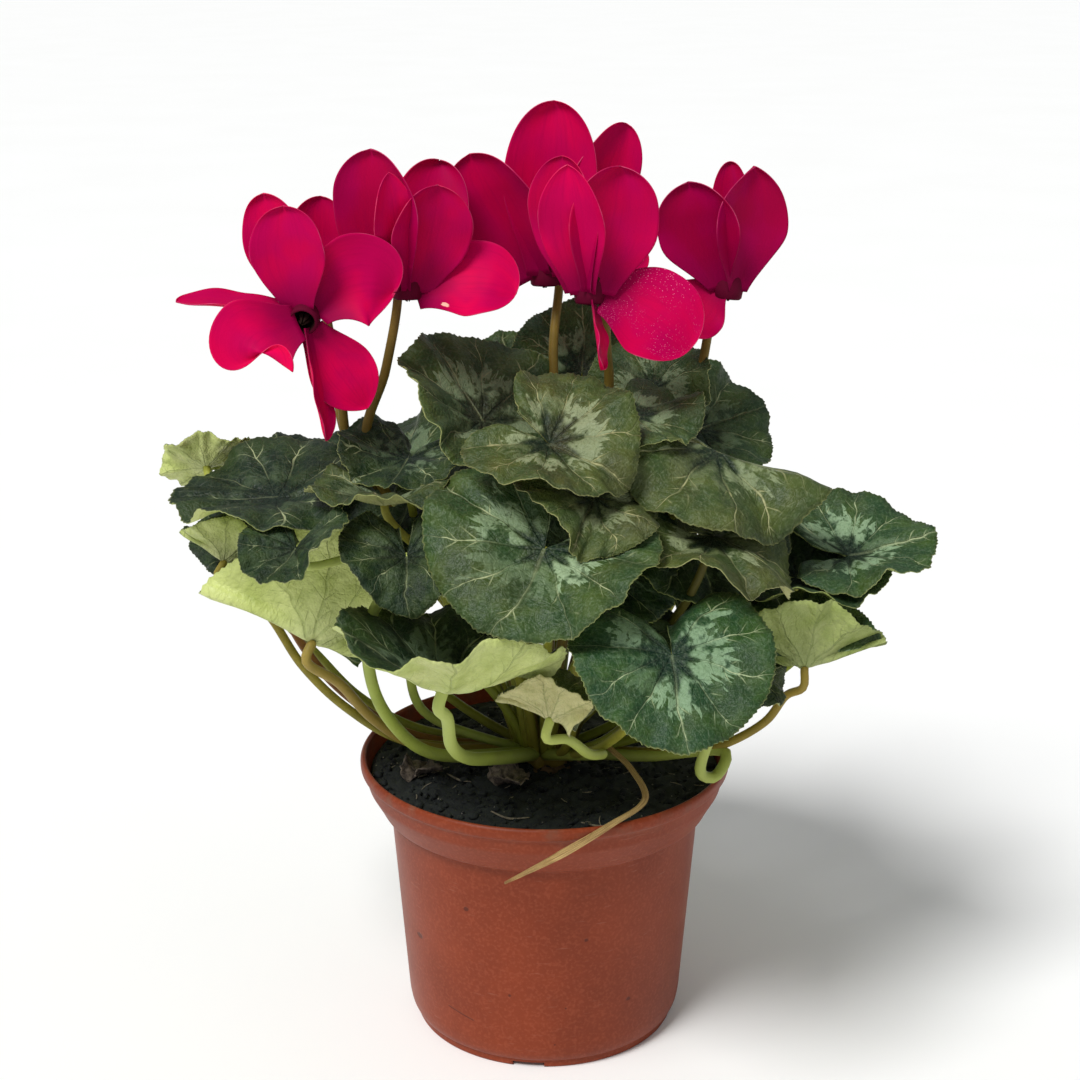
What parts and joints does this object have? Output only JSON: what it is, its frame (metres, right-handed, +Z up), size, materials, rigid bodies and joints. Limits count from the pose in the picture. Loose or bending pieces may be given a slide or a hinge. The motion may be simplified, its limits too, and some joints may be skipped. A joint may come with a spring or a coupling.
{
  "type": "potted cyclamen",
  "caption": "Flowering cyclamen with marbled heart-shaped leaves and swept-back petals, growing in a round tapered plastic nursery pot.",
  "frame": {"origin": "centre of the flat boss under the pot, on the surface the pot stands on", "axes": "+Z up along the pot's axis; the plant is seen from -Y, with +X to the right"},
  "size_m": [0.2606, 0.226, 0.3241],
  "materials": {
    "pot": "terracotta-coloured moulded plastic with a soft sheen",
    "soil": "damp dark potting soil, crumbly",
    "tuber": "rough corky brown skin",
    "petiole": "smooth fleshy yellow-green stem",
    "stalk": "smooth fleshy olive-brown flower stalk",
    "leaf": "dark green leaf marbled with silver, pale green below",
    "petal": "velvety crimson-magenta petal",
    "dried_stem": "dry straw-coloured stem",
    "withered_scrap": "withered brittle leaf"
  },
  "bodies": {
    "root": {"bloom_centre_front": "petal", "bloom_centre_rear": "petal", "bloom_left_centre": "petal", "bloom_left_front": "petal", "bloom_left_rear": "petal", "bloom_right": "petal", "dried_stem": "dried_stem", "leaf_back_high_1": "leaf", "leaf_back_high_2": "leaf", "leaf_back_high_3": "leaf", "leaf_back_high_4": "leaf", "leaf_back_low_1": "leaf", "leaf_back_low_2": "leaf", "leaf_back_low_3": "leaf", "leaf_back_low_4": "leaf", "leaf_back_low_5": "leaf", "leaf_centre_big": "leaf", "leaf_centre_right": "leaf", "leaf_front_bowl": "leaf", "leaf_front_low": "leaf", "leaf_front_small": "leaf", "leaf_inner_front": "leaf", "leaf_inner_left": "leaf", "leaf_inner_right": "leaf", "leaf_left_cup": "leaf", "leaf_left_hanging": "leaf", "leaf_left_inner": "leaf", "leaf_left_lip": "leaf", "leaf_left_low_fold": "leaf", "leaf_left_rear": "leaf", "leaf_left_shelf": "leaf", "leaf_left_tucked": "leaf", "leaf_left_upright": "leaf", "leaf_left_wide": "leaf", "leaf_right_far": "leaf", "leaf_right_low_fold": "leaf", "leaf_right_mid": "leaf", "leaf_right_saddle": "leaf", "leaf_right_shade": "leaf", "leaf_right_top": "leaf", "leaf_right_under": "leaf", "leaf_right_wave": "leaf", "leaf_top_back": "leaf", "leaf_top_centre": "leaf", "leaf_top_left": "leaf", "leaf_top_left_back": "leaf", "leaf_top_right": "leaf", "leaf_top_right_back": "leaf", "petioles": "petiole", "pot": "pot", "soil": "soil", "stalk_centre_front": "stalk", "stalk_centre_rear": "stalk", "stalk_left_centre": "stalk", "stalk_left_front": "stalk", "stalk_left_rear": "stalk", "stalk_right": "stalk", "tuber": "tuber", "withered_scrap_front": "withered_scrap", "withered_scrap_left": "withered_scrap"}
  },
  "joints": []
}
